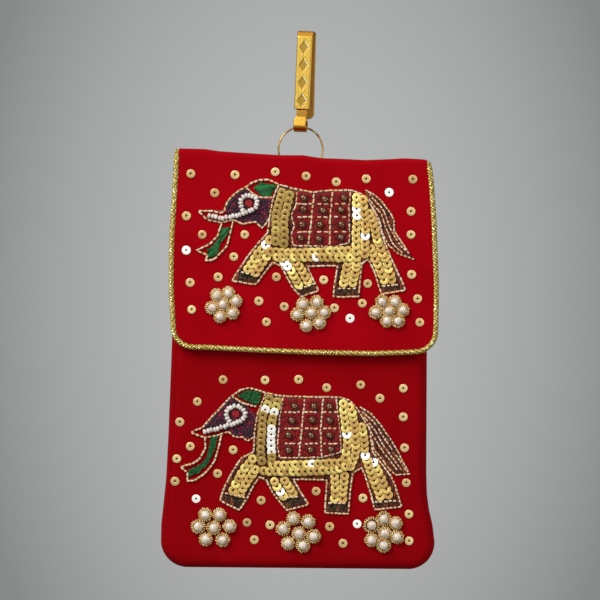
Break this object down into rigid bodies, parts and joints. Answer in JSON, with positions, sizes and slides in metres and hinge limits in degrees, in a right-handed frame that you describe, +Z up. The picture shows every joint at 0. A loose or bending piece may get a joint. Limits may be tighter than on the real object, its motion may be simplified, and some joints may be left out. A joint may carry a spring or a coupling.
{
  "type": "phone pouch",
  "caption": "Hanging waist pouch for a phone: gilt waist hook, wire ring, lined red cloth pocket and a corded flap, both with beadwork elephants and pearl flowers.",
  "frame": {"origin": "middle of the hook's inner top face, which sits on the edge of a waistband", "axes": "+Z up as it hangs, -Y out of the front with the flap and the beadwork, +X to the viewer's right"},
  "size_m": [0.1234, 0.0289, 0.2415],
  "materials": {
    "gilt_brass": "satin, stamped",
    "brass_wire": "dull, drawn",
    "red_cloth": "matt woven cloth",
    "lining_cloth": "thin plain lining",
    "gold_cord": "twisted metallic cord",
    "gold_wire": "coiled embroidery wire",
    "gold_sequin": "metallised sequins",
    "maroon_thread": "stitched thread",
    "purple_thread": "stitched thread",
    "green_thread": "metallic thread",
    "olive_thread": "metallic thread",
    "white_bead": "glossy",
    "pearl": "pearly"
  },
  "bodies": {
    "hook": {"waist_hook": "gilt_brass"},
    "ring": {"wire_ring": "brass_wire"},
    "pouch": {"ring_tab": "red_cloth", "back_panel": "red_cloth", "front_panel": "red_cloth", "pocket_lining": "lining_cloth", "snap_socket": "brass_wire", "lower_gold_outline": "gold_wire", "lower_sequin_body": "gold_sequin", "lower_blanket": "maroon_thread", "lower_head": "purple_thread", "lower_crown": "green_thread", "lower_trunk": "green_thread", "lower_white_beads": "white_bead", "lower_eye": "red_cloth", "lower_tail": "gold_wire", "lower_hoof_1": "olive_thread", "lower_hoof_2": "olive_thread", "lower_hoof_3": "olive_thread", "lower_hoof_4": "olive_thread", "lower_flower_1": "pearl", "lower_flower_2": "pearl", "lower_flower_3": "pearl"},
    "fold": {"top_strip": "red_cloth"},
    "flap": {"flap_panel": "red_cloth", "flap_lining": "lining_cloth", "flap_piping": "gold_cord", "snap_stud": "brass_wire", "upper_gold_outline": "gold_wire", "upper_sequin_body": "gold_sequin", "upper_blanket": "maroon_thread", "upper_head": "purple_thread", "upper_crown": "green_thread", "upper_trunk": "green_thread", "upper_white_beads": "white_bead", "upper_eye": "red_cloth", "upper_tail": "gold_wire", "upper_hoof_1": "olive_thread", "upper_hoof_2": "olive_thread", "upper_hoof_3": "olive_thread", "upper_hoof_4": "olive_thread", "upper_flower_1": "pearl", "upper_flower_2": "pearl", "upper_flower_3": "pearl"}
  },
  "joints": [
    {"name": "ring_swing", "type": "hinge", "parent": "hook", "child": "ring", "pos_m": [-0.00147, 0, -0.04257], "axis": [1, 0, 0], "range_deg": [-40, 60]},
    {"name": "pouch_swing", "type": "hinge", "parent": "ring", "child": "pouch", "pos_m": [-0.00147, 0, -0.06257], "axis": [1, 0, 0], "range_deg": [-3, 85]},
    {"name": "flap_lift", "type": "hinge", "parent": "pouch", "child": "fold", "pos_m": [-0.00147, -0.003, -0.05566], "axis": [-0.9986, -0.003, 0.0522], "range_deg": [0, 65]},
    {"name": "flap_turn", "type": "hinge", "parent": "fold", "child": "flap", "pos_m": [-0.00147, -0.01788, -0.05652], "axis": [-0.9986, -0.003, 0.0522], "range_deg": [0, 65]}
  ],
  "couplings": [
    {"joint": "flap_turn", "follows": "flap_lift", "ratio": 1}
  ]
}
